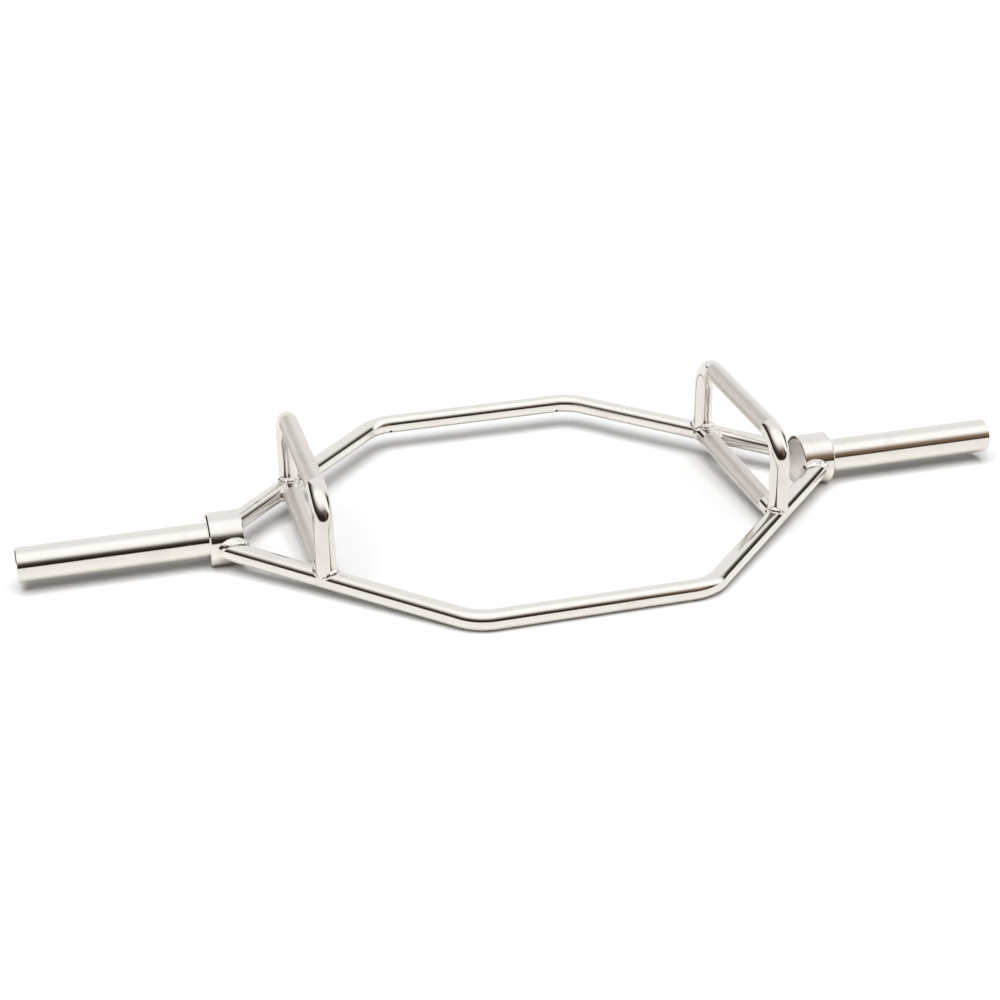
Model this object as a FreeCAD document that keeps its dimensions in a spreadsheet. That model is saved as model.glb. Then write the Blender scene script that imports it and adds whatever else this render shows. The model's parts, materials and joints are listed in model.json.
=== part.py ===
import FreeCAD, Part
import math
import os
import Sketcher
from FreeCAD import Vector

# Hex trap bar: two bent tubes meet at two collars and close a six-sided frame to stand in.
# Plates slide onto the two sleeves; each side has a lower handle in the frame and a raised one above it.
# +X runs along the sleeves, +Y from the front run to the rear one, +Z up; the collars stand on z = 0.

# Every size is in millimetres.
SIZES = {
    # sleeves, as thick tubes with a stepped spigot that goes through the collar
    "sleeve_diameter": 50,
    "sleeve_length": 262,
    "sleeve_wall": 5,
    "sleeve_chamfer": 1.5,
    "spigot_step": 2,
    # collars that stop the plates and carry the frame
    "collar_spacing": 840,
    "collar_length": 48,
    "collar_diameter": 76,
    "collar_chamfer": 2,
    "collar_lip": 5,
    # discs that close the collars, and caps that close the sleeves
    "disc_thickness": 5,
    "disc_recess": 0.5,
    "cap_thickness": 4,
    "cap_recess": 1,
    "edge_break": 0.8,
    # bent frame tubes: a straight run between two bends, and an arm from each bend to a collar
    "tube_diameter": 28,
    "tube_wall": 3,
    "run_length": 322,
    "frame_depth": 646,
    "bend_radius": 60,
    "frame_drop": 5,
    "arm_landing": 16.5,
    "vent_diameter": 4.5,
    "vent_spacing": 274,
    "vent_drop": 7.5,
    # handles: a straight lower one between the arms, and a raised one bent from one tube
    "handle_spacing": 654,
    "lower_diameter": 28,
    "lower_wall": 3,
    "raised_diameter": 28,
    "raised_wall": 3,
    "raised_bend_radius": 40,
    "grip_rise": 118,
    # joints
    "weld_size": 4,
    "weld_gap": 0.2,
    "seat_gap": 0.05,
}

# Lengths that follow from the sizes.
RUN_Y = "(Sizes.frame_depth / 2)"
CORNER_X = "(Sizes.run_length / 2)"
COLLAR_R = "(Sizes.collar_diameter / 2)"
COLLAR_IN_X = "(Sizes.collar_spacing / 2)"
COLLAR_OUT_X = f"({COLLAR_IN_X} + Sizes.collar_length)"
FRAME_Z = f"({COLLAR_R} - Sizes.frame_drop)"

# An arm leaves the bend corner and lands on the collar's side; its axis is carried on to the collar's axis.
LANDING_X = f"({COLLAR_IN_X} + Sizes.arm_landing)"
ARM_SLOPE = f"(({RUN_Y} - {COLLAR_R}) / ({LANDING_X} - {CORNER_X}))"
ARM_END_X = f"({CORNER_X} + {RUN_Y} / {ARM_SLOPE})"
ARM_LENGTH = f"sqrt(({ARM_END_X} - {CORNER_X}) ^ 2 + {RUN_Y} ^ 2)"

# Both handles of a side end over the arms' axes.
HANDLE_X = "(Sizes.handle_spacing / 2)"
HANDLE_Y = f"({RUN_Y} - ({HANDLE_X} - {CORNER_X}) * {ARM_SLOPE})"

TUBE_R = "(Sizes.tube_diameter / 2)"
LOWER_R = "(Sizes.lower_diameter / 2)"
RAISED_R = "(Sizes.raised_diameter / 2)"

# The collar's bore takes the sleeve's spigot, and its counterbore takes the disc.
SLEEVE_R = "(Sizes.sleeve_diameter / 2)"
BORE_R = f"({SLEEVE_R} - Sizes.sleeve_wall)"
SPIGOT_R = f"({SLEEVE_R} - Sizes.spigot_step)"
DISC_R = f"({COLLAR_R} - Sizes.collar_lip)"
DISC_SEAT = "(Sizes.disc_recess + Sizes.disc_thickness)"
SPIGOT_LENGTH = f"(Sizes.collar_length - {DISC_SEAT})"

# Solid rods on the tubes' axes are grown by a gap for the copes, and by the weld's size for the beads.
GAP = "Sizes.weld_gap"
BEAD = "Sizes.weld_size"

SIDES = {"left": -1, "right": 1}
ENDS = {"front": -1, "rear": 1}
UP = Vector(0, 0, 1)

doc = FreeCAD.newDocument("hex_trap_bar")
sheet = doc.addObject("Spreadsheet::Sheet", "Sizes")
for row, (alias, number) in enumerate(SIZES.items(), start=1):
    sheet.set(f"A{row}", alias)
    sheet.set(f"B{row}", str(number))
    sheet.setAlias(f"B{row}", alias)
doc.recompute()

parts = {}


def value(expression):
    return float(sheet.evalExpression(expression))


def keep(label, piece):
    piece.Label = label
    parts[label] = piece


def origin_plane(body, role):
    return next(feature for feature in body.Origin.OriginFeatures if feature.Role == role)


def new_sketch(body, role):
    sketch = body.newObject("Sketcher::SketchObject", "Outline")
    sketch.AttachmentSupport = [(origin_plane(body, role), "")]
    sketch.MapMode = "FlatFace"
    return sketch


def bind(sketch, kind, *where, to):
    index = sketch.addConstraint(Sketcher.Constraint(kind, *where, value(to)))
    sketch.setExpression(f"Constraints[{index}]", to)


def pin_point(sketch, geometry, end, x, y):
    # A point on an axis is tied to that axis, any other takes its distance from the origin.
    for kind, offset, axis in (("DistanceX", x, -2), ("DistanceY", y, -1)):
        distance = value(offset)
        if distance == 0:
            sketch.addConstraint(Sketcher.Constraint("PointOnObject", geometry, end, axis))
        elif distance > 0:
            bind(sketch, kind, -1, 1, geometry, end, to=offset)
        else:
            bind(sketch, kind, geometry, end, -1, 1, to=f"-1 * ({offset})")


def tube_section(body, role, x, y, diameter, wall):
    section = new_sketch(body, role)
    centre = Vector(value(x), value(y), 0)
    for across in (diameter, f"{diameter} - 2 * {wall}"):
        circle = section.addGeometry(Part.Circle(centre, UP, value(across) / 2))
        pin_point(section, circle, 3, x, y)
        bind(section, "Diameter", circle, to=across)
    return section


def round_hole(sketch, x, y, diameter):
    circle = sketch.addGeometry(Part.Circle(Vector(value(x), value(y), 0), UP, value(diameter) / 2))
    pin_point(sketch, circle, 3, x, y)
    bind(sketch, "Diameter", circle, to=diameter)


def mirrored_pipe(body, section, spine, role):
    pipe = body.newObject("PartDesign::AdditivePipe", "HalfTube")
    pipe.Profile = section
    pipe.Spine = spine
    twin = body.newObject("PartDesign::Mirrored", "WholeTube")
    twin.Originals = [pipe]
    twin.MirrorPlane = (origin_plane(body, role), [""])
    body.Tip = twin
    doc.recompute()


def pocket(body, outline, depth=None):
    # With no depth the cut goes right through, both ways.
    before = body.Shape.Volume
    cut = body.newObject("PartDesign::Pocket", "Cut")
    cut.Profile = outline
    if depth is None:
        cut.Type = "ThroughAll"
        cut.SideType = "Symmetric"
    else:
        cut.Reversed = True
        cut.setExpression("Length", depth)
    doc.recompute()
    if not body.Shape.Volume < before:
        raise ValueError(f"a cut in {body.Label} removes nothing")


def place(piece, x, y, z, turn="rotation(vector(0; 0; 1); 0)"):
    piece.setExpression("Placement", f"placement(vector({x}; {y}; {z}); {turn})")


def half_turn(side):
    # The left end's pieces are the right end's, turned round the vertical.
    return f"rotation(vector(0; 0; 1); {0 if side > 0 else 180})"


def turned_piece(label, outline, x, side):
    # A lathe piece on the sleeves' axis, from its half outline of (along, radius) points.
    body = doc.addObject("PartDesign::Body", label)
    sketch = new_sketch(body, "XY_Plane")
    corners = [Vector(value(along), value(radius), 0) for along, radius in outline]
    count = len(corners)
    for index in range(count):
        sketch.addGeometry(Part.LineSegment(corners[index], corners[(index + 1) % count]))
    for index, (along, radius) in enumerate(outline):
        sketch.addConstraint(Sketcher.Constraint("Coincident", index, 2, (index + 1) % count, 1))
        pin_point(sketch, index, 1, along, radius)
    lathe = body.newObject("PartDesign::Revolution", "Lathe")
    lathe.Profile = sketch
    lathe.ReferenceAxis = (sketch, ["H_Axis"])
    place(body, f"{side} * {x}", "0", COLLAR_R, half_turn(side))
    keep(label, body)


def rod(name, radius, length, x, y, z, turn):
    piece = doc.addObject("Part::Cylinder", name)
    piece.setExpression("Radius", radius)
    piece.setExpression("Height", length)
    place(piece, x, y, z, turn)
    return piece


def joined(name, first, second):
    union = doc.addObject("Part::Fuse", name)
    union.Base = first
    union.Tool = second
    return union


def shared(name, first, second):
    common = doc.addObject("Part::Common", name)
    common.Base = first
    common.Tool = second
    return common


def cut_away(label, base, tools):
    for tool in tools:
        cut = doc.addObject("Part::Cut", "Trim")
        cut.Base = base
        cut.Tool = tool
        base = cut
    keep(label, base)


def sleeve(name, side):
    outline = [
        ("0", BORE_R),
        ("0", SPIGOT_R),
        (SPIGOT_LENGTH, SPIGOT_R),
        (SPIGOT_LENGTH, SLEEVE_R),
        (f"{SPIGOT_LENGTH} + Sizes.sleeve_length - Sizes.sleeve_chamfer", SLEEVE_R),
        (f"{SPIGOT_LENGTH} + Sizes.sleeve_length", f"{SLEEVE_R} - Sizes.sleeve_chamfer"),
        (f"{SPIGOT_LENGTH} + Sizes.sleeve_length", BORE_R),
    ]
    turned_piece(f"{name}_sleeve", outline, f"({COLLAR_IN_X} + {DISC_SEAT})", side)


def sleeve_cap(name, side):
    radius = f"{BORE_R} - Sizes.seat_gap"
    outline = [
        ("0", "0"),
        ("0", radius),
        ("Sizes.cap_thickness - Sizes.edge_break", radius),
        ("Sizes.cap_thickness", f"{radius} - Sizes.edge_break"),
        ("Sizes.cap_thickness", "0"),
    ]
    inner_face = f"({COLLAR_OUT_X} + Sizes.sleeve_length - Sizes.cap_recess - Sizes.cap_thickness)"
    turned_piece(f"{name}_sleeve_cap", outline, inner_face, side)


def collar(name, side):
    bore = f"{SPIGOT_R} + Sizes.seat_gap"
    counterbore = f"{DISC_R} + Sizes.seat_gap"
    outline = [
        ("0", counterbore),
        ("0", f"{COLLAR_R} - Sizes.edge_break"),
        ("Sizes.edge_break", COLLAR_R),
        ("Sizes.collar_length - Sizes.collar_chamfer", COLLAR_R),
        ("Sizes.collar_length", f"{COLLAR_R} - Sizes.collar_chamfer"),
        ("Sizes.collar_length", bore),
        (DISC_SEAT, bore),
        (DISC_SEAT, counterbore),
    ]
    turned_piece(f"{name}_collar", outline, COLLAR_IN_X, side)


def collar_disc(name, side):
    outline = [
        ("Sizes.disc_recess", "0"),
        ("Sizes.disc_recess", f"{DISC_R} - Sizes.edge_break"),
        ("Sizes.disc_recess + Sizes.edge_break", DISC_R),
        (DISC_SEAT, DISC_R),
        (DISC_SEAT, "0"),
    ]
    turned_piece(f"{name}_collar_disc", outline, COLLAR_IN_X, side)


def frame_spine(body):
    # Half the bar's centre line, for the front bar: half the run, the bend and the arm.
    spine = new_sketch(body, "XY_Plane")
    slope = value(ARM_SLOPE)
    turn = math.atan(slope)
    radius = value("Sizes.bend_radius")
    corner = Vector(value(CORNER_X), -value(RUN_Y), 0)
    tangent = radius * math.tan(turn / 2)
    arm = Vector(math.cos(turn), math.sin(turn), 0)
    bend_start = corner - Vector(tangent, 0, 0)
    bend_end = corner + arm * tangent
    bend_centre = bend_start + Vector(0, radius, 0)
    run_half = spine.addGeometry(Part.LineSegment(Vector(0, corner.y, 0), bend_start))
    bend_circle = Part.Circle(bend_centre, UP, radius)
    bend = spine.addGeometry(Part.ArcOfCircle(bend_circle, -math.pi / 2, turn - math.pi / 2))
    arm_line = spine.addGeometry(Part.LineSegment(bend_end, Vector(value(ARM_END_X), 0, 0)))
    corner_mark = spine.addGeometry(Part.Point(corner), True)
    spine.addConstraint([
        Sketcher.Constraint("Tangent", run_half, 2, bend, 1),
        Sketcher.Constraint("Tangent", bend, 2, arm_line, 1),
        Sketcher.Constraint("Horizontal", run_half),
        Sketcher.Constraint("PointOnObject", corner_mark, 1, run_half),
        Sketcher.Constraint("PointOnObject", corner_mark, 1, arm_line),
    ])
    pin_point(spine, run_half, 1, "0", f"-1 * {RUN_Y}")
    pin_point(spine, arm_line, 2, ARM_END_X, "0")
    bind(spine, "DistanceX", -1, 1, corner_mark, 1, to=CORNER_X)
    bind(spine, "Radius", bend, to="Sizes.bend_radius")
    return spine


def frame_bar(name, end):
    body = doc.addObject("PartDesign::Body", f"{name}_frame_bar")
    section = tube_section(body, "YZ_Plane", f"-1 * {RUN_Y}", "0", "Sizes.tube_diameter", "Sizes.tube_wall")
    mirrored_pipe(body, section, frame_spine(body), "YZ_Plane")

    # Both arms are coped to the collars' round sides.
    cope = new_sketch(body, "YZ_Plane")
    round_hole(cope, "0", "Sizes.frame_drop", "Sizes.collar_diameter + 2 * Sizes.weld_gap")
    pocket(body, cope)

    # A vent hole beside each bend, low on the inner side, lets the plating bath drain.
    vents = new_sketch(body, "XZ_Plane")
    for side in SIDES.values():
        round_hole(vents, f"{side} * Sizes.vent_spacing / 2", "-1 * Sizes.vent_drop", "Sizes.vent_diameter")
    pocket(body, vents, depth=RUN_Y)

    # The rear bar is the front one turned round.
    place(body, "0", "0", FRAME_Z, half_turn(-end))
    keep(f"{name}_frame_bar", body)


def handle_spine(body):
    # Half the raised handle's centre line: half the grip, the bend and one leg.
    spine = new_sketch(body, "YZ_Plane")
    radius = value("Sizes.raised_bend_radius")
    top = value("Sizes.grip_rise")
    leg_y = value(HANDLE_Y)
    bend_centre = Vector(leg_y - radius, top - radius, 0)
    grip_half = spine.addGeometry(Part.LineSegment(Vector(0, top, 0), bend_centre + Vector(0, radius, 0)))
    bend = spine.addGeometry(Part.ArcOfCircle(Part.Circle(bend_centre, UP, radius), 0, math.pi / 2))
    leg = spine.addGeometry(Part.LineSegment(bend_centre + Vector(radius, 0, 0), Vector(leg_y, 0, 0)))
    spine.addConstraint([
        Sketcher.Constraint("Tangent", grip_half, 2, bend, 2),
        Sketcher.Constraint("Tangent", bend, 1, leg, 1),
        Sketcher.Constraint("Horizontal", grip_half),
        Sketcher.Constraint("Vertical", leg),
    ])
    pin_point(spine, grip_half, 1, "0", "Sizes.grip_rise")
    pin_point(spine, leg, 2, HANDLE_Y, "0")
    bind(spine, "Radius", bend, to="Sizes.raised_bend_radius")
    return spine


def raised_handle(name, side, neighbours):
    body = doc.addObject("PartDesign::Body", f"{name}_raised_tube")
    across = "Sizes.raised_diameter"
    section = tube_section(body, "XZ_Plane", "0", "Sizes.grip_rise", across, "Sizes.raised_wall")
    mirrored_pipe(body, section, handle_spine(body), "XZ_Plane")
    place(body, f"{side} * {HANDLE_X}", "0", FRAME_Z)
    # The feet are coped over the arms and over the ends of the lower handle.
    cut_away(f"{name}_raised_handle", body, neighbours)


def lower_handle(name, side, arms):
    body = doc.addObject("PartDesign::Body", f"{name}_lower_tube")
    tube = body.newObject("PartDesign::Pad", "Tube")
    tube.Profile = tube_section(body, "XZ_Plane", "0", "0", "Sizes.lower_diameter", "Sizes.lower_wall")
    tube.SideType = "Symmetric"
    tube.setExpression("Length", f"2 * {HANDLE_Y}")
    place(body, f"{side} * {HANDLE_X}", "0", FRAME_Z)
    # Both ends are coped to the slanted arms.
    cut_away(f"{name}_lower_handle", body, arms)


def arm_rod(name, side, end, margin):
    run = f"{side} * ({ARM_END_X} - {CORNER_X})"
    fall = f"{-end} * {RUN_Y}"
    turn = f"rotation(vector(0; 0; 1); atan2({fall}; {run})) * rotation(vector(0; 1; 0); 90)"
    radius = f"{TUBE_R} + {margin}"
    return rod(name, radius, ARM_LENGTH, f"{side} * {CORNER_X}", f"{end} * {RUN_Y}", FRAME_Z, turn)


def lower_rod(name, side, margin):
    reach = f"({HANDLE_Y} + Sizes.weld_size)"
    turn = "rotation(vector(1; 0; 0); -90)"
    radius = f"{LOWER_R} + {margin}"
    return rod(name, radius, f"2 * {reach}", f"{side} * {HANDLE_X}", f"-1 * {reach}", FRAME_Z, turn)


def leg_rod(name, side, end, margin, lift):
    height = f"{TUBE_R} + {LOWER_R} + Sizes.weld_size"
    radius = f"{RAISED_R} + {margin}"
    turn = "rotation(vector(0; 0; 1); 0)"
    foot = f"{FRAME_Z} + {lift}"
    return rod(name, radius, height, f"{side} * {HANDLE_X}", f"{end} * {HANDLE_Y}", foot, turn)


def collar_rod(name, side, margin):
    turn = "rotation(vector(0; 1; 0); 90)"
    start = COLLAR_IN_X if side > 0 else f"-1 * {COLLAR_OUT_X}"
    return rod(name, f"{COLLAR_R} + {margin}", "Sizes.collar_length", start, "0", COLLAR_R, turn)


def welds(corner, arm, arm_bead, leg, leg_bead, lower, lower_bead, collar_core, collar_bead):
    # A bead fills the corner between two tubes, up to the weld's size from each of them.
    foot = shared(f"{corner}_foot_ring", leg_bead, joined(f"{corner}_foot_bed", arm_bead, lower_bead))
    cut_away(f"{corner}_leg_weld", foot, [arm, lower, leg])

    handle_end = shared(f"{corner}_end_ring", lower_bead, arm_bead)
    cut_away(f"{corner}_lower_weld", handle_end, [arm, lower, leg_bead])

    landing = shared(f"{corner}_landing_ring", arm_bead, collar_bead)
    cut_away(f"{corner}_collar_weld", landing, [arm, collar_core])


for end_name, end in ENDS.items():
    frame_bar(end_name, end)

for side_name, side in SIDES.items():
    sleeve(side_name, side)
    sleeve_cap(side_name, side)
    collar(side_name, side)
    collar_disc(side_name, side)
    lower = lower_rod(f"{side_name}_lower_core", side, GAP)
    lower_bead = lower_rod(f"{side_name}_lower_bead", side, BEAD)
    collar_core = collar_rod(f"{side_name}_collar_core", side, GAP)
    collar_bead = collar_rod(f"{side_name}_collar_bead", side, BEAD)
    arms = []
    for end_name, end in ENDS.items():
        corner = f"{end_name}_{side_name}"
        arm = arm_rod(f"{corner}_arm_core", side, end, GAP)
        arm_bead = arm_rod(f"{corner}_arm_bead", side, end, BEAD)
        leg = leg_rod(f"{corner}_leg_core", side, end, GAP, "0")
        leg_bead = leg_rod(f"{corner}_leg_bead", side, end, BEAD, BEAD)
        welds(corner, arm, arm_bead, leg, leg_bead, lower, lower_bead, collar_core, collar_bead)
        arms.append(arm)
    lower_handle(side_name, side, arms)
    raised_handle(side_name, side, arms + [lower])

doc.recompute()
for item in doc.Objects:
    if "Invalid" in item.State or "Error" in item.State:
        raise ValueError(f"{item.Label} did not build: {item.State}")
for label, piece in parts.items():
    shape = piece.Shape
    if shape.isNull() or not shape.isValid() or len(shape.Solids) != 1:
        raise ValueError(f"{label} is not one valid solid")

os.makedirs("parts", exist_ok=True)
for label, piece in parts.items():
    piece.Shape.exportStep(f"parts/{label}.step")
    print(label, round(piece.Shape.Volume / 1000, 2), "cm3")
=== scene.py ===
import json
import math
import bpy
from mathutils import Matrix, Vector


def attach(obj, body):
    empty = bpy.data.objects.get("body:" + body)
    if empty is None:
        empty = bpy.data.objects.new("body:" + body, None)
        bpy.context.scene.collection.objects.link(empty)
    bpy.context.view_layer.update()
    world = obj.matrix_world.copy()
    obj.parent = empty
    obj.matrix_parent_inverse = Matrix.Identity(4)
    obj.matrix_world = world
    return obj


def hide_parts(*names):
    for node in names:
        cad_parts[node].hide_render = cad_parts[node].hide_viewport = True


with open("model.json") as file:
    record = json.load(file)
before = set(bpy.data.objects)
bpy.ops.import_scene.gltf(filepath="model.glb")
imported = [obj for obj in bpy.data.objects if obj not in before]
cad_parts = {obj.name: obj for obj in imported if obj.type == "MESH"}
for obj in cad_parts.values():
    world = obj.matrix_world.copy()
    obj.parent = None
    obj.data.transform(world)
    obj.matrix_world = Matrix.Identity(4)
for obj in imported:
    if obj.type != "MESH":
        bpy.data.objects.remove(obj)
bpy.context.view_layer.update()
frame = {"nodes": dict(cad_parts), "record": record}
nodes = frame["nodes"]
print("frame loaded:", len(nodes), "solids")

# sizes of the bar in metres, as its solids have them
bar = {
    "tubeRadius": 0.014,
    "frameHeight": 0.033,
    "cornerX": 0.161,
    "runY": 0.323,
    "handleX": 0.327,
    "gripHeight": 0.151,
    "collarRadius": 0.038,
    "collarInX": 0.420,
    "landingX": 0.4365,
}
# an arm's axis runs from the bend's corner to the collar's wall, and is carried on to the collar's axis
armSlope = (bar["runY"] - bar["collarRadius"]) / (bar["landingX"] - bar["cornerX"])
bar["armEndX"] = bar["cornerX"] + bar["runY"] / armSlope
bar["handleY"] = bar["runY"] - (bar["handleX"] - bar["cornerX"]) * armSlope
sides = {"left": -1, "right": 1}
ends = {"front": -1, "rear": 1}


# small helpers for node trees

def addNode(tree, kind, **settings):
    node = tree.nodes.new(kind)
    for name, setting in settings.items():
        setattr(node, name, setting)
    return node


def feed(tree, socket, source):
    # a socket takes a link or a plain value
    if isinstance(source, bpy.types.NodeSocket):
        tree.links.new(source, socket)
    else:
        socket.default_value = source


def math2(tree, operation, first, second=0.0):
    node = addNode(tree, "ShaderNodeMath", operation=operation)
    feed(tree, node.inputs[0], first)
    feed(tree, node.inputs[1], second)
    return node.outputs[0]


def opposite(tree, mask):
    return math2(tree, "SUBTRACT", 1.0, mask)


def distance(tree, first, second):
    # length of two steps that are square to each other
    squares = [math2(tree, "MULTIPLY", step, step) for step in (first, second)]
    return math2(tree, "SQRT", math2(tree, "ADD", *squares))


def splitXyz(tree, vector):
    node = addNode(tree, "ShaderNodeSeparateXYZ")
    feed(tree, node.inputs[0], vector)
    return node.outputs


def joinXyz(tree, x, y, z):
    node = addNode(tree, "ShaderNodeCombineXYZ")
    for socket, source in zip(node.inputs, (x, y, z)):
        feed(tree, socket, source)
    return node.outputs[0]


def addVectors(tree, first, second):
    node = addNode(tree, "ShaderNodeVectorMath", operation="ADD")
    feed(tree, node.inputs[0], first)
    feed(tree, node.inputs[1], second)
    return node.outputs[0]


def scaleVector(tree, vector, factor):
    node = addNode(tree, "ShaderNodeVectorMath", operation="SCALE")
    feed(tree, node.inputs[0], vector)
    feed(tree, node.inputs["Scale"], factor)
    return node.outputs[0]


def smoothMask(tree, value, low, high):
    node = addNode(tree, "ShaderNodeMapRange", interpolation_type="SMOOTHSTEP")
    feed(tree, node.inputs["Value"], value)
    feed(tree, node.inputs["From Min"], low)
    feed(tree, node.inputs["From Max"], high)
    return node.outputs["Result"]


def blend(tree, kind, mask, first, second, mode="MIX"):
    # kind is RGBA for colours and FLOAT for values
    node = addNode(tree, "ShaderNodeMix", data_type=kind, blend_type=mode)
    feed(tree, node.inputs["Factor"], mask)
    feed(tree, node.inputs["A"], first)
    feed(tree, node.inputs["B"], second)
    return node.outputs["Result"]


def addNoise(tree, dimensions, sizes, **sources):
    node = addNode(tree, "ShaderNodeTexNoise", noise_dimensions=dimensions)
    for label, source in (sizes | sources).items():
        feed(tree, node.inputs[label], source)
    return node.outputs["Fac"]


def newGroup(name, inputs, outputs):
    group = bpy.data.node_groups.new(name, "ShaderNodeTree")
    for label, kind in inputs:
        group.interface.new_socket(label, in_out="INPUT", socket_type=kind)
    for label, kind in outputs:
        group.interface.new_socket(label, in_out="OUTPUT", socket_type=kind)
    return group, addNode(group, "NodeGroupInput"), addNode(group, "NodeGroupOutput")


def useGroup(tree, group, **values):
    node = addNode(tree, "ShaderNodeGroup", node_tree=group)
    for label, source in values.items():
        feed(tree, node.inputs[label], source)
    return node


# white sweep under the bar, flat in front and curved up slowly from the sleeves back
# the photographed bar lies on its collars and front run, so the sweep is turned a little about X
sweep = {
    "tilt": 3.37,
    "reach": 16,
    "radius": 4.0,
    "curveEnd": 0.5,
    "steps": 16,
    "colour": (0.95, 0.95, 0.95, 1),
    "mirrored": (0.864, 0.846, 0.811, 1),
}


def makeFloor():
    mesh = bpy.data.meshes.new("floor")
    reach = sweep["reach"]
    end = sweep["curveEnd"]
    steps = sweep["steps"]
    fall = math.tan(math.radians(sweep["tilt"]))
    depths = [-reach] + [end * step / steps for step in range(steps + 1)] + [reach]
    points = []
    for y in depths:
        curved = min(max(y, 0), end)
        lift = curved * (max(y, 0) - curved / 2) / sweep["radius"]
        points.extend([(-reach, y, lift - fall * y), (reach, y, lift - fall * y)])
    strips = [(2 * row, 2 * row + 1, 2 * row + 3, 2 * row + 2) for row in range(len(depths) - 1)]
    mesh.from_pydata(points, [], strips)
    floor = bpy.data.objects.new("floor", mesh)
    bpy.context.scene.collection.objects.link(floor)
    material = bpy.data.materials.new("whitePaper")
    material.use_nodes = True
    tree = material.node_tree
    tree.nodes.clear()
    # white to the eye, a little warmer and darker in the chrome
    mirrored = addNode(tree, "ShaderNodeLightPath").outputs["Is Glossy Ray"]
    colour = blend(tree, "RGBA", mirrored, sweep["colour"], sweep["mirrored"])
    paper = addNode(tree, "ShaderNodeBsdfDiffuse")
    feed(tree, paper.inputs["Color"], colour)
    # seen from below, the paper is not there
    pick = addNode(tree, "ShaderNodeMixShader")
    feed(tree, pick.inputs[0], addNode(tree, "ShaderNodeNewGeometry").outputs["Backfacing"])
    feed(tree, pick.inputs[1], paper.outputs[0])
    feed(tree, pick.inputs[2], addNode(tree, "ShaderNodeBsdfTransparent").outputs[0])
    out = addNode(tree, "ShaderNodeOutputMaterial")
    feed(tree, out.inputs["Surface"], pick.outputs[0])
    mesh.materials.append(material)


# what the chrome mirrors: a dark room in front, a wall behind, a soft box overhead, paper at both sides
# ways round the bar are in degrees from the front to the right, and a pair is where something fades
surround = {
    "ambient": (0.03, 0.03, 0.03, 1),
    "wall": (0.91, 0.90, 0.89, 1),
    "box": (1.16, 1.15, 1.14, 1),
    "boxTurn": 0.18,
    "boxFade": (-0.10, 0.45),
    "roomTop": 0.66,
    "roomLeft": (-165, -140),
    "roomRight": (30, 87),
    "postLeft": (83, 94),
    "postRight": (110, 124),
    "postShare": 0.80,
    "brown": (0.15, 0.10, 0.06, 1),
    "brownWay": 32,
    "brownSides": (0.950, 0.996),
    "brownFoot": (0.0, 0.3),
    "brownTop": (0.75, 1.1),
    "paper": (0.95, 0.93, 0.90, 1),
    "paperTop": 0.10,
    "paperSides": (0.2, 0.85),
    "paperEdge": (-0.04, 0.01),
    # least values of what is divided by
    "leastLevel": 0.001,
    "leastHeight": 0.02,
}
# the dark room by height, as a share of its top
roomStops = [
    (0.00, (0.020, 0.012, 0.008, 1)),
    (0.24, (0.017, 0.010, 0.007, 1)),
    (0.50, (0.037, 0.026, 0.021, 1)),
    (0.74, (0.156, 0.138, 0.122, 1)),
    (0.96, (0.640, 0.620, 0.600, 1)),
    (1.15, (0.930, 0.915, 0.890, 1)),
    (1.35, (1.000, 1.000, 1.000, 1)),
]


def wayMask(tree, around, rise, fall):
    # one between two ways round the bar, fading at both
    up = smoothMask(tree, around, math.radians(rise[0]), math.radians(rise[1]))
    down = smoothMask(tree, around, math.radians(fall[0]), math.radians(fall[1]))
    return math2(tree, "MULTIPLY", up, opposite(tree, down))


def roomColour(tree, share):
    ramp = addNode(tree, "ShaderNodeValToRGB")
    span = roomStops[-1][0]
    feed(tree, ramp.inputs[0], math2(tree, "DIVIDE", share, span))
    while len(ramp.color_ramp.elements) < len(roomStops):
        ramp.color_ramp.elements.new(1.0)
    for element, (place, colour) in zip(ramp.color_ramp.elements, roomStops):
        element.position = place / span
        element.color = colour
    return ramp.outputs["Color"]


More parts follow.
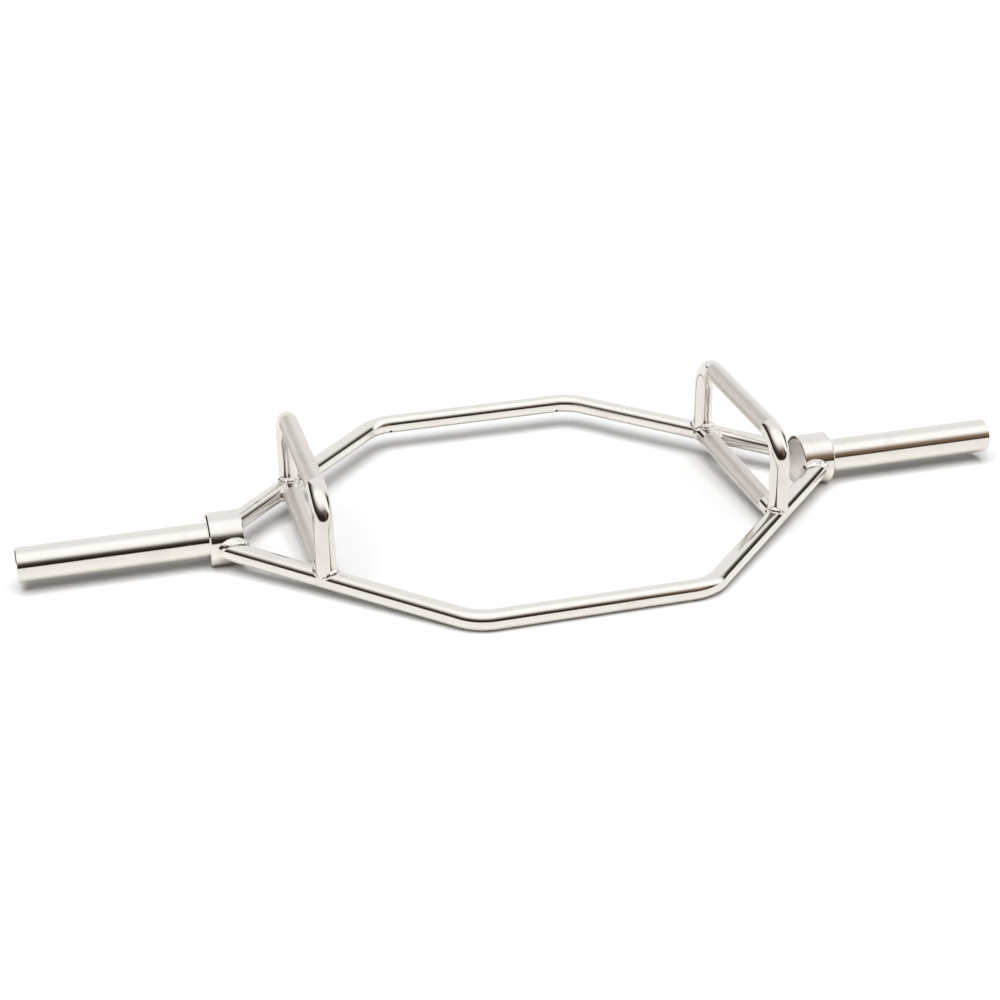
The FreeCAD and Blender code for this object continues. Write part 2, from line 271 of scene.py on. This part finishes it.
def makeSurround(tree):
    # colour that a mirror sees in each direction
    turn = addNode(tree, "ShaderNodeVectorRotate", rotation_type="X_AXIS")
    feed(tree, turn.inputs["Vector"], addNode(tree, "ShaderNodeTexCoord").outputs["Generated"])
    turn.inputs["Angle"].default_value = math.radians(sweep["tilt"])
    x, y, z = splitXyz(tree, turn.outputs[0])
    front = math2(tree, "MULTIPLY", y, -1.0)
    level = math2(tree, "MAXIMUM", distance(tree, x, y), surround["leastLevel"])
    # the soft box hangs over the front half, and the wall behind it is a little darker
    behind = math2(tree, "ADD", y, math2(tree, "MULTIPLY", x, surround["boxTurn"]))
    behind = math2(tree, "DIVIDE", behind, math2(tree, "MAXIMUM", z, surround["leastHeight"]))
    boxMask = opposite(tree, smoothMask(tree, behind, *surround["boxFade"]))
    sky = blend(tree, "RGBA", boxMask, surround["wall"], surround["box"])
    # the dark room reaches far round on the left, and a dark post stands beyond its right end
    around = math2(tree, "ARCTAN2", x, front)
    reach = wayMask(tree, around, surround["roomLeft"], surround["roomRight"])
    post = wayMask(tree, around, surround["postLeft"], surround["postRight"])
    reach = math2(tree, "MAXIMUM", reach, math2(tree, "MULTIPLY", post, surround["postShare"]))
    top = math2(tree, "MULTIPLY", reach, surround["roomTop"])
    share = math2(tree, "DIVIDE", z, math2(tree, "MAXIMUM", top, surround["leastHeight"]))
    room = blend(tree, "RGBA", 1.0, sky, roomColour(tree, share), "MULTIPLY")
    # a brown wall stands in front on the right
    way = math.radians(surround["brownWay"])
    ahead = math2(tree, "MULTIPLY", front, math.cos(way))
    toward = math2(tree, "ADD", math2(tree, "MULTIPLY", x, math.sin(way)), ahead)
    brown = smoothMask(tree, math2(tree, "DIVIDE", toward, level), *surround["brownSides"])
    brown = math2(tree, "MULTIPLY", brown, smoothMask(tree, z, *surround["brownFoot"]))
    below = opposite(tree, smoothMask(tree, share, *surround["brownTop"]))
    brown = math2(tree, "MULTIPLY", brown, below)
    tinted = blend(tree, "RGBA", brown, room, surround["brown"], "ADD")
    # the paper is turned up at both sides
    facing = math2(tree, "DIVIDE", front, level)
    aside = opposite(tree, smoothMask(tree, facing, *surround["paperSides"]))
    edge = math2(tree, "MULTIPLY", aside, surround["paperTop"])
    above = smoothMask(tree, math2(tree, "SUBTRACT", z, edge), *surround["paperEdge"])
    return blend(tree, "RGBA", above, surround["paper"], tinted)


def makeWorld():
    world = bpy.data.worlds.new("studio")
    bpy.context.scene.world = world
    world.use_nodes = True
    tree = world.node_tree
    tree.nodes.clear()
    path = addNode(tree, "ShaderNodeLightPath").outputs
    mirrored = math2(tree, "MAXIMUM", path["Is Glossy Ray"], path["Is Transmission Ray"])
    lit = addNode(tree, "ShaderNodeBackground")
    feed(tree, lit.inputs["Color"], blend(tree, "RGBA", mirrored, surround["ambient"], makeSurround(tree)))
    white = addNode(tree, "ShaderNodeBackground")
    white.inputs["Color"].default_value = (1, 1, 1, 1)
    pick = addNode(tree, "ShaderNodeMixShader")
    feed(tree, pick.inputs[0], path["Is Camera Ray"])
    feed(tree, pick.inputs[1], lit.outputs[0])
    feed(tree, pick.inputs[2], white.outputs[0])
    out = addNode(tree, "ShaderNodeOutputWorld")
    feed(tree, out.inputs["Surface"], pick.outputs[0])


# wide lamp nearly overhead, which the chrome does not mirror
key = {
    "strength": 3.45,
    "angle": 64,
    "from": (-0.10, -0.22, 0.97),
}


def makeKey():
    light = bpy.data.lights.new("key", "SUN")
    light.energy = key["strength"]
    light.angle = math.radians(key["angle"])
    lamp = bpy.data.objects.new("key", light)
    lamp.visible_glossy = False
    bpy.context.scene.collection.objects.link(lamp)
    lamp.rotation_mode = "QUATERNION"
    lamp.rotation_quaternion = Vector(key["from"]).to_track_quat("Z", "Y")


# camera, as fitted to the tubes' edges, with its angles in degrees
shot = {
    "place": (-0.68134, -2.41135, 1.27888),
    "yaw": -14.835,
    "pitch": 26.440,
    "roll": -0.962,
    "lens": 69.031,
    "sensor": 36,
}


def makeCamera():
    lens = bpy.data.cameras.new("shot")
    lens.lens = shot["lens"]
    lens.sensor_width = shot["sensor"]
    camera = bpy.data.objects.new("shot", lens)
    bpy.context.scene.collection.objects.link(camera)
    yaw, pitch, roll = (math.radians(shot[name]) for name in ("yaw", "pitch", "roll"))
    level = math.cos(pitch)
    back = Vector((math.sin(yaw) * level, -math.cos(yaw) * level, math.sin(pitch)))
    right = Vector((math.cos(yaw), math.sin(yaw), 0))
    up = back.cross(right)
    rightRolled = right * math.cos(roll) + up * math.sin(roll)
    upRolled = up * math.cos(roll) - right * math.sin(roll)
    turn = Matrix((rightRolled, upRolled, back)).transposed()
    camera.matrix_world = Matrix.Translation(shot["place"]) @ turn.to_4x4()
    bpy.context.scene.camera = camera


makeWorld()
makeFloor()
makeKey()
makeCamera()
bpy.context.scene.view_settings.view_transform = "Standard"
print("studio set")


# shared surface effects; the names in a noise are those of its sockets

plating = {
    "waves": {"Scale": 38, "Detail": 1},
    "peel": {"Scale": 520, "Detail": 2},
    "bumpDepth": 0.0006,
}


def makePlateWaves():
    # slow waves and fine peel that plating leaves on a polished tube
    group, given, made = newGroup(
        "plateWaves",
        [("Vector", "NodeSocketVector"), ("Peel", "NodeSocketFloat")],
        [("Height", "NodeSocketFloat")],
    )
    slow = addNoise(group, "3D", plating["waves"], Vector=given.outputs["Vector"])
    peel = addNoise(group, "3D", plating["peel"], Vector=given.outputs["Vector"])
    fine = math2(group, "MULTIPLY", peel, given.outputs["Peel"])
    feed(group, made.inputs["Height"], math2(group, "ADD", slow, fine))
    return group


smearing = {
    "noise": {"Scale": 21, "Detail": 5, "Roughness": 0.62, "Distortion": 0.8},
    "fade": (0.48, 0.72),
}


def makeHandling():
    # faint smears and wiping streaks from handling
    group, given, made = newGroup(
        "handling",
        [("Vector", "NodeSocketVector"), ("Amount", "NodeSocketFloat")],
        [("Mask", "NodeSocketFloat")],
    )
    smear = addNoise(group, "3D", smearing["noise"], Vector=given.outputs["Vector"])
    mask = smoothMask(group, smear, *smearing["fade"])
    feed(group, made.inputs["Mask"], math2(group, "MULTIPLY", mask, given.outputs["Amount"]))
    return group


scoring = {
    "noise": {"Scale": 1, "Detail": 3, "Roughness": 0.6},
    "fade": (0.3, 0.7),
}


def makeToolLines():
    # fine lines that a lathe tool or a polishing belt leaves across one coordinate
    group, given, made = newGroup(
        "toolLines",
        [("Place", "NodeSocketFloat"), ("Pitch", "NodeSocketFloat")],
        [("Lines", "NodeSocketFloat")],
    )
    turns = math2(group, "DIVIDE", given.outputs["Place"], given.outputs["Pitch"])
    noise = addNoise(group, "1D", scoring["noise"], W=turns)
    feed(group, made.inputs["Lines"], smoothMask(group, noise, *scoring["fade"]))
    return group


plateWaves = makePlateWaves()
handling = makeHandling()
toolLines = makeToolLines()


def startMaterial(name):
    material = bpy.data.materials.new(name)
    material.use_nodes = True
    tree = material.node_tree
    return material, tree, tree.nodes["Principled BSDF"]


def makeChrome(name, look):
    material, tree, shader = startMaterial(name)
    place = addNode(tree, "ShaderNodeTexCoord").outputs["Object"]
    x, y, z = splitXyz(tree, place)
    smear = useGroup(tree, handling, Vector=place, Amount=look["smears"]).outputs["Mask"]
    waves = useGroup(tree, plateWaves, Vector=place, Peel=look["peel"]).outputs["Height"]
    # turned pieces carry lines along their axis, faced ones carry rings round it
    way = x
    if look["lines"] == "rings":
        way = distance(tree, y, math2(tree, "SUBTRACT", z, bar["collarRadius"]))
    lines = useGroup(tree, toolLines, Place=way, Pitch=look["pitch"]).outputs["Lines"]
    worn = math2(tree, "ADD", smear, math2(tree, "MULTIPLY", lines, look["lineWear"]))
    feed(tree, shader.inputs["Base Color"], blend(tree, "RGBA", worn, look["bright"], look["dull"]))
    feed(tree, shader.inputs["Roughness"], blend(tree, "FLOAT", worn, look["polish"], look["worn"]))
    shader.inputs["Metallic"].default_value = 1
    bump = addNode(tree, "ShaderNodeBump")
    bump.inputs["Strength"].default_value = look["bump"]
    bump.inputs["Distance"].default_value = plating["bumpDepth"]
    height = math2(tree, "ADD", waves, math2(tree, "MULTIPLY", lines, look["lineDepth"]))
    feed(tree, bump.inputs["Height"], height)
    feed(tree, shader.inputs["Normal"], bump.outputs["Normal"])
    return material


# polished tubes, turned sleeves and collars, faced discs and caps, and welds that were only plated over
polished = {
    "bright": (0.88, 0.86, 0.835, 1),
    "dull": (0.80, 0.775, 0.75, 1),
    "polish": 0.07,
    "worn": 0.16,
    "smears": 0.6,
    "peel": 0.02,
    "bump": 0.25,
    "lines": "along",
    "pitch": 0.0030,
    "lineWear": 0.15,
    "lineDepth": 0.0,
}
turned = polished | {
    "lineWear": 0.35,
    "lineDepth": 0.01,
}
faced = polished | {
    "peel": 0.01,
    "bump": 0.12,
    "lines": "rings",
    "pitch": 0.0011,
    "lineWear": 0.6,
    "lineDepth": 0.02,
}
chromeLooks = {
    "frame_chrome": polished,
    "sleeve_chrome": turned | {"polish": 0.08, "worn": 0.17, "pitch": 0.0012},
    "collar_chrome": turned | {"polish": 0.09, "worn": 0.19, "pitch": 0.0010},
    "disc_chrome": faced | {
        "bright": (0.92, 0.893, 0.88, 1),
        "dull": (0.84, 0.812, 0.80, 1),
        "polish": 0.34,
        "worn": 0.44,
        "smears": 0.2,
    },
    "cap_steel": faced | {
        "bright": (0.74, 0.72, 0.70, 1),
        "dull": (0.64, 0.62, 0.60, 1),
        "polish": 0.24,
        "worn": 0.34,
        "smears": 0.5,
    },
    "handle_chrome": polished | {
        "bright": (0.87, 0.845, 0.82, 1),
        "dull": (0.79, 0.765, 0.74, 1),
        "polish": 0.08,
        "worn": 0.18,
    },
    "weld_chrome": polished | {
        "bright": (0.86, 0.835, 0.81, 1),
        "dull": (0.74, 0.71, 0.68, 1),
        "polish": 0.10,
        "worn": 0.24,
        "smears": 0.7,
        "peel": 0.08,
        "bump": 0.30,
        "pitch": 0.0040,
        "lineWear": 0.10,
    },
}
finishes = {}
for slot, look in chromeLooks.items():
    kind, metal = slot.split("_")
    finishes[slot] = makeChrome(kind + metal.capitalize(), look)
for entry in frame["record"]["subparts"]:
    solid = nodes[entry["node"]].data
    for index in range(len(solid.materials)):
        solid.materials[index] = finishes[entry["material_slot"]]
print("finishes set:", len(finishes))


# pieces that repeat a form or follow a seam are grown by geometry nodes

def newShapeTree(name, inputs):
    tree = bpy.data.node_groups.new(name, "GeometryNodeTree")
    tree.interface.new_socket("Geometry", in_out="INPUT", socket_type="NodeSocketGeometry")
    for label, kind in inputs:
        tree.interface.new_socket(label, in_out="INPUT", socket_type=kind)
    tree.interface.new_socket("Geometry", in_out="OUTPUT", socket_type="NodeSocketGeometry")
    return tree, addNode(tree, "NodeGroupInput").outputs, addNode(tree, "NodeGroupOutput")


def endShape(tree, made, shape, finish):
    real = addNode(tree, "GeometryNodeRealizeInstances")
    feed(tree, real.inputs["Geometry"], shape)
    dressed = addNode(tree, "GeometryNodeSetMaterial")
    feed(tree, dressed.inputs["Geometry"], real.outputs["Geometry"])
    dressed.inputs["Material"].default_value = finish
    feed(tree, made.inputs["Geometry"], dressed.outputs["Geometry"])


def growPiece(name, seedMesh, tree, sizes):
    piece = bpy.data.objects.new(name, seedMesh)
    bpy.context.scene.collection.objects.link(piece)
    grower = piece.modifiers.new("grower", "NODES")
    grower.node_group = tree
    for socket in tree.interface.items_tree:
        if socket.in_out == "INPUT" and socket.name in sizes:
            grower[socket.identifier] = sizes[socket.name]
    grown = piece.evaluated_get(bpy.context.evaluated_depsgraph_get())
    mesh = bpy.data.meshes.new_from_object(grown)
    mesh.name = name
    piece.modifiers.clear()
    piece.data = mesh
    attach(piece, "root")
    return piece


# knurl: crossed 30 degree grooves leave rows of blunt diamonds on the grips
knurl = {
    "around": 58,
    "rowStep": 0.0013,
    "base": 0.01398,
    "height": 0.00028,
    "flat": 0.34,
}
grips = {
    "RaisedKnurl": {"axisZ": bar["gripHeight"], "halfLength": 0.109},
    "LowerKnurl": {"axisZ": bar["frameHeight"], "halfLength": 0.115},
}


def makeKnurlTree(finish):
    tree, given, made = newShapeTree("knurl", [
        ("Around", "NodeSocketInt"),
        ("Rows", "NodeSocketInt"),
        ("Row Step", "NodeSocketFloat"),
        ("Base", "NodeSocketFloat"),
        ("Height", "NodeSocketFloat"),
        ("Flat", "NodeSocketFloat"),
        ("Axis X", "NodeSocketFloat"),
        ("Axis Z", "NodeSocketFloat"),
    ])
    spots = addNode(tree, "GeometryNodePoints")
    feed(tree, spots.inputs["Count"], math2(tree, "MULTIPLY", given["Around"], given["Rows"]))
    # every other row is turned by half a diamond
    index = addNode(tree, "GeometryNodeInputIndex").outputs[0]
    rowPlace = math2(tree, "DIVIDE", math2(tree, "ADD", index, 0.5), given["Around"])
    row = math2(tree, "FLOOR", rowPlace)
    column = math2(tree, "SUBTRACT", index, math2(tree, "MULTIPLY", row, given["Around"]))
    shift = math2(tree, "MULTIPLY", math2(tree, "MODULO", row, 2.0), 0.5)
    columnTurn = math2(tree, "MULTIPLY", math2(tree, "ADD", column, shift), 2 * math.pi)
    turn = math2(tree, "DIVIDE", columnTurn, given["Around"])
    outward = joinXyz(tree, math2(tree, "COSINE", turn), 0.0, math2(tree, "SINE", turn))
    middle = math2(tree, "MULTIPLY", math2(tree, "SUBTRACT", given["Rows"], 1.0), 0.5)
    along = math2(tree, "MULTIPLY", math2(tree, "SUBTRACT", row, middle), given["Row Step"])
    axis = joinXyz(tree, given["Axis X"], along, given["Axis Z"])
    feed(tree, spots.inputs["Position"], addVectors(tree, axis, scaleVector(tree, outward, given["Base"])))
    # one blunt diamond, as wide as its row's pitch and two steps long, without its hidden base
    cone = addNode(tree, "GeometryNodeMeshCone", fill_type="NGON")
    cone.inputs["Vertices"].default_value = 4
    feed(tree, cone.inputs["Radius Top"], given["Flat"])
    cone.inputs["Radius Bottom"].default_value = 1
    cone.inputs["Depth"].default_value = 1
    diamond = addNode(tree, "GeometryNodeDeleteGeometry", domain="FACE")
    feed(tree, diamond.inputs["Geometry"], cone.outputs["Mesh"])
    feed(tree, diamond.inputs["Selection"], cone.outputs["Bottom"])
    stand = addNode(tree, "FunctionNodeAxesToRotation", primary_axis="Z", secondary_axis="Y")
    feed(tree, stand.inputs["Primary Axis"], outward)
    stand.inputs["Secondary Axis"].default_value = (0, 1, 0)
    halfWidth = math2(tree, "DIVIDE", math2(tree, "MULTIPLY", given["Base"], math.pi), given["Around"])
    studs = addNode(tree, "GeometryNodeInstanceOnPoints")
    feed(tree, studs.inputs["Points"], spots.outputs[0])
    feed(tree, studs.inputs["Instance"], diamond.outputs[0])
    feed(tree, studs.inputs["Rotation"], stand.outputs[0])
    feed(tree, studs.inputs["Scale"], joinXyz(tree, halfWidth, given["Row Step"], given["Height"]))
    endShape(tree, made, studs.outputs[0], finish)
    return tree


# the crest's two places are shares of the knurl's height
knurlLook = {
    "crest": (0.95, 0.918, 0.895, 1),
    "grooveDirtAndShade": (0.77, 0.735, 0.715, 1),
    "crestPolish": 0.34,
    "groovePolish": 0.48,
    "crestFrom": 0.1,
    "crestFull": 0.8,
    "smears": 0.5,
}


def makeKnurlFinish():
    # plated all over, dull and grey down in the grooves: rougher there, and darker from dirt and painted
    # shade
    material, tree, shader = startMaterial("knurlChrome")
    place = addNode(tree, "ShaderNodeTexCoord").outputs["Object"]
    x, _, z = splitXyz(tree, place)
    across = math2(tree, "SUBTRACT", math2(tree, "ABSOLUTE", x), bar["handleX"])
    between = (bar["gripHeight"] + bar["frameHeight"]) / 2
    raised = math2(tree, "GREATER_THAN", z, between)
    step = math2(tree, "MULTIPLY", raised, bar["gripHeight"] - bar["frameHeight"])
    rise = math2(tree, "SUBTRACT", z, math2(tree, "ADD", bar["frameHeight"], step))
    low = knurl["base"] + knurlLook["crestFrom"] * knurl["height"]
    high = knurl["base"] + knurlLook["crestFull"] * knurl["height"]
    crest = smoothMask(tree, distance(tree, across, rise), low, high)
    smear = useGroup(tree, handling, Vector=place, Amount=knurlLook["smears"]).outputs["Mask"]
    # the grooves' darker colour is dirt and painted shade, and the smears take that colour too
    colour = blend(tree, "RGBA", crest, knurlLook["grooveDirtAndShade"], knurlLook["crest"])
    polish = blend(tree, "FLOAT", crest, knurlLook["groovePolish"], knurlLook["crestPolish"])
    feed(tree, shader.inputs["Base Color"], blend(tree, "RGBA", smear, colour, knurlLook["grooveDirtAndShade"]))
    feed(tree, shader.inputs["Roughness"], polish)
    shader.inputs["Metallic"].default_value = 1
    return material


knurlTree = makeKnurlTree(makeKnurlFinish())
for sideName, side in sides.items():
    for kind, grip in grips.items():
        piece = growPiece(sideName + kind, bpy.data.meshes.new("seed"), knurlTree, {
            "Around": knurl["around"],
            "Rows": int(2 * grip["halfLength"] / knurl["rowStep"]),
            "Row Step": knurl["rowStep"],
            "Base": knurl["base"],
            "Height": knurl["height"],
            "Flat": knurl["flat"],
            "Axis X": side * bar["handleX"],
            "Axis Z": grip["axisZ"],
        })
        print("knurl:", piece.name, len(piece.data.polygons), "faces")


# weld beads: a skin over the corner of two pieces, rippled and lumpy along its seam
weld = {
    "rise": 0.0018,
    "climb": 0.0030,
    "flushClimb": 0.0012,
    "width": 0.0064,
    "flushWidth": 0.0040,
    "crown": 0.0017,
    "collarWidth": 0.0078,
    "armWidth": 0.0105,
    "collarCrown": 0.0014,
    "sink": 0.0008,
    "root": 0.005,
    "rows": 200,
    "evenRows": 4,
    "ribs": 11,
    "ripplePitch": 0.0034,
    "rippleDepth": 0.00015,
    "lumpScale": 125,
    "lumpDepth": 0.0040,
    "lumpDetail": 1,
    "edgeShare": 0.2,
    "seedStep": 7.3,
}
armRun = Vector((bar["armEndX"] - bar["cornerX"], -bar["runY"])).normalized()
tube = bar["tubeRadius"]


# a bead's ring has, for each row, its edge on either piece, the way it leans and how far it swells

def saddleRow(out, branch, main):
    # the branch tube's wall, at one way out of its axis, meets a skin that stands off the main tube
    cosine = branch.dot(main)
    sine = math.sqrt(1 - cosine ** 2)
    flat = (main - branch * cosine) / sine
    across = branch.cross(flat)
    up = (branch - main * cosine) / sine
    ahead = out.dot(flat)
    aside = out.dot(across)
    skin = tube + weld["rise"]
    high = math.sqrt(skin ** 2 - (tube * aside) ** 2)
    reach = (high + cosine * tube * ahead) / sine
    turn = math.asin(tube * aside / skin)
    along = tube * ahead * sine + reach * cosine
    # from there it spreads square to the seam over the main tube, less where both walls are flush
    flush = aside ** 2
    highRate = -tube ** 2 * aside * ahead / high
    alongRate = (highRate - cosine * tube * aside) / sine * cosine - tube * aside * sine
    spread = Vector((-alongRate, tube ** 2 * ahead / high)).normalized()
    spread *= weld["width"] * (1 - flush) + weld["flushWidth"] * flush
    turn += spread.x / tube
    along += spread.y
    face = up * math.cos(turn) + across * math.sin(turn)
    climb = weld["climb"] * (1 - flush) + weld["flushClimb"] * flush
    wall = out * (tube - weld["sink"]) + branch * (reach + climb)
    toe = face * (tube - weld["sink"]) + main * along
    return reach, wall, toe, out + face, weld["crown"]


def armWay(side, end):
    return Vector((side * armRun.x, end * armRun.y, 0))


def legRing(side, end):
    # foot of a raised handle, on the arm and on the lower handle inside it
    foot = Vector((side * bar["handleX"], end * bar["handleY"], bar["frameHeight"]))
    ring = []
    for row in range(weld["rows"]):
        turn = 2 * math.pi * row / weld["rows"]
        out = Vector((math.cos(turn), math.sin(turn), 0))
        found = saddleRow(out, Vector((0, 0, 1)), armWay(side, end))
        if out.y * end < 0:
            other = saddleRow(out, Vector((0, 0, 1)), Vector((0, 1, 0)))
            found = max(found, other, key=lambda seen: seen[0])
        ring.append((foot + found[1], foot + found[2], found[3], found[4]))
    return ring


def lowerRing(side, end):
    # end of a lower handle on the inside of the arm
    middle = Vector((side * bar["handleX"], end * bar["handleY"], bar["frameHeight"]))
    ring = []
    for row in range(weld["rows"]):
        turn = 2 * math.pi * row / weld["rows"]
        out = Vector((math.cos(turn), 0, math.sin(turn)))
        found = saddleRow(out, Vector((0, -end, 0)), armWay(side, end))
        ring.append((middle + found[1], middle + found[2], found[3], found[4]))
    return ring


def collarSeam(side, end, turn):
    # arm's end on the collar's round wall, kept on the collar's length
    across = tube * math.cos(turn)
    z = bar["frameHeight"] + tube * math.sin(turn)
    rise = z - bar["collarRadius"]
    wall = math.sqrt(bar["collarRadius"] ** 2 - rise ** 2)
    back = (wall + armRun.x * across) / -armRun.y
    edge = (bar["armEndX"] + armRun.y * across - bar["collarInX"]) / armRun.x
    second = Vector((0, end * wall, rise)).normalized()
    if back > edge:
        back = edge
        second = (second + Vector((-side, 0, 0))).normalized()
    x = bar["armEndX"] - armRun.x * back + armRun.y * across
    y = -armRun.y * back - armRun.x * across
    level = math.cos(turn)
    first = Vector((side * armRun.y * level, -end * armRun.x * level, math.sin(turn)))
    return Vector((side * x, end * y, z)), first, second


def leave(outward, way, other):
    # direction in a surface that leaves the corner
    along = outward.cross(way)
    return along if along.dot(other) > 0 else -along


def collarRing(side, end):
    rows = weld["rows"]
    seam = [collarSeam(side, end, 2 * math.pi * row / rows) for row in range(rows)]
    ring = []
    for row, (spot, first, second) in enumerate(seam):
        way = (seam[(row + 1) % rows][0] - seam[row - 1][0]).normalized()
        # the flatter the corner, the smaller the bead
        full = math.sqrt(min(1, max(0, 1 - first.dot(second))))
        wall = spot + leave(first, way, second) * weld["armWidth"] * full - first * weld["sink"]
        toe = spot + leave(second, way, first) * weld["collarWidth"] * full - second * weld["sink"]
        ring.append((wall, toe, first + second, weld["collarCrown"] * full))
    return ring


def evenRing(ring):
    # each row is averaged with its neighbours on both sides
    rows = len(ring)
    reach = weld["evenRows"]
    made = []
    for row in range(rows):
        near = [ring[(row + step) % rows] for step in range(-reach, reach + 1)]
        wall, toe, lean = (sum((item[part] for item in near), Vector()) / len(near) for part in range(3))
        made.append((wall, toe, lean.normalized(), sum(item[3] for item in near) / len(near)))
    return made


def beadSkin(ring):
    rows = len(ring)
    ribs = weld["ribs"]
    points = []
    crowns = []
    leans = []
    lengths = []
    length = 0
    for row, (wall, toe, lean, crown) in enumerate(ring):
        middle = (wall + toe) / 2
        over = middle + lean * 2 * crown
        rough = min(1, crown / weld["collarCrown"]) ** 2  # a low bead is a smooth one
        for rib in range(ribs):
            share = rib / (ribs - 1)
            swell = 4 * share * (1 - share)
            points.append(wall * (1 - share) ** 2 + over * swell / 2 + toe * share ** 2)
            crowns.append(rough * (weld["edgeShare"] + (1 - weld["edgeShare"]) * swell))
        points.append(middle - lean * weld["root"])
        crowns.append(0)
        leans.extend([lean] * (ribs + 1))
        lengths.extend([length] * (ribs + 1))
        nextRow = ring[(row + 1) % rows]
        length += ((nextRow[0] + nextRow[1]) / 2 - middle).length
    loop = ribs + 1
    faces = []
    for row in range(rows):
        here = row * loop
        there = (row + 1) % rows * loop
        for rib in range(loop):
            last = (rib + 1) % loop
            faces.append((here + rib, there + rib, there + last, here + last))
    # side and end mirror the seam, so every other skin is turned over
    crest = faces[ribs // 2]
    corner, ahead, beside = (points[crest[place]] for place in (0, 1, 3))
    if (ahead - corner).cross(beside - corner).dot(leans[0]) < 0:
        faces = [face[::-1] for face in faces]
    mesh = bpy.data.meshes.new("skin")
    mesh.from_pydata(points, [], faces)
    leanParts = [part for lean in leans for part in lean]
    mesh.attributes.new("crown", "FLOAT", "POINT").data.foreach_set("value", crowns)
    mesh.attributes.new("length", "FLOAT", "POINT").data.foreach_set("value", lengths)
    mesh.attributes.new("lean", "FLOAT_VECTOR", "POINT").data.foreach_set("vector", leanParts)
    return mesh


def readNamed(tree, name, kind):
    node = addNode(tree, "GeometryNodeInputNamedAttribute", data_type=kind)
    node.inputs["Name"].default_value = name
    return node.outputs["Attribute"]


def makeBeadTree(finish):
    tree, given, made = newShapeTree("bead", [
        ("Ripple Pitch", "NodeSocketFloat"),
        ("Ripple Depth", "NodeSocketFloat"),
        ("Lump Scale", "NodeSocketFloat"),
        ("Lump Depth", "NodeSocketFloat"),
        ("Seed", "NodeSocketFloat"),
    ])
    # each ripple swells and drops, and slow lumps come on top
    ripples = math2(tree, "DIVIDE", readNamed(tree, "length", "FLOAT"), given["Ripple Pitch"])
    phase = math2(tree, "FRACT", ripples)
    swell = math2(tree, "SINE", math2(tree, "MULTIPLY", phase, math.pi))
    ripple = math2(tree, "MULTIPLY", math2(tree, "MULTIPLY", swell, swell), given["Ripple Depth"])
    noise = addNoise(tree, "4D", {"Detail": weld["lumpDetail"]}, W=given["Seed"], Scale=given["Lump Scale"])
    lump = math2(tree, "MULTIPLY", math2(tree, "SUBTRACT", noise, 0.5), given["Lump Depth"])
    rough = math2(tree, "ADD", ripple, lump)
    rise = math2(tree, "MULTIPLY", rough, readNamed(tree, "crown", "FLOAT"))
    lumpy = addNode(tree, "GeometryNodeSetPosition")
    feed(tree, lumpy.inputs["Geometry"], given["Geometry"])
    feed(tree, lumpy.inputs["Offset"], scaleVector(tree, readNamed(tree, "lean", "FLOAT_VECTOR"), rise))
    smooth = addNode(tree, "GeometryNodeSetShadeSmooth")
    feed(tree, smooth.inputs["Geometry"], lumpy.outputs[0])
    endShape(tree, made, smooth.outputs[0], finish)
    return tree


beadTree = makeBeadTree(finishes["weld_chrome"])
rings = {"leg": legRing, "lower": lowerRing, "collar": collarRing}
beadCount = 0
for endName, end in ends.items():
    for sideName, side in sides.items():
        for kind, makeRing in rings.items():
            beadCount += 1
            name = endName + sideName.capitalize() + kind.capitalize() + "Bead"
            piece = growPiece(name, beadSkin(evenRing(makeRing(side, end))), beadTree, {
                "Ripple Pitch": weld["ripplePitch"],
                "Ripple Depth": weld["rippleDepth"],
                "Lump Scale": weld["lumpScale"],
                "Lump Depth": weld["lumpDepth"],
                "Seed": weld["seedStep"] * beadCount,
            })
            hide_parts(endName + "_" + sideName + "_" + kind + "_weld")
print("weld beads:", beadCount)
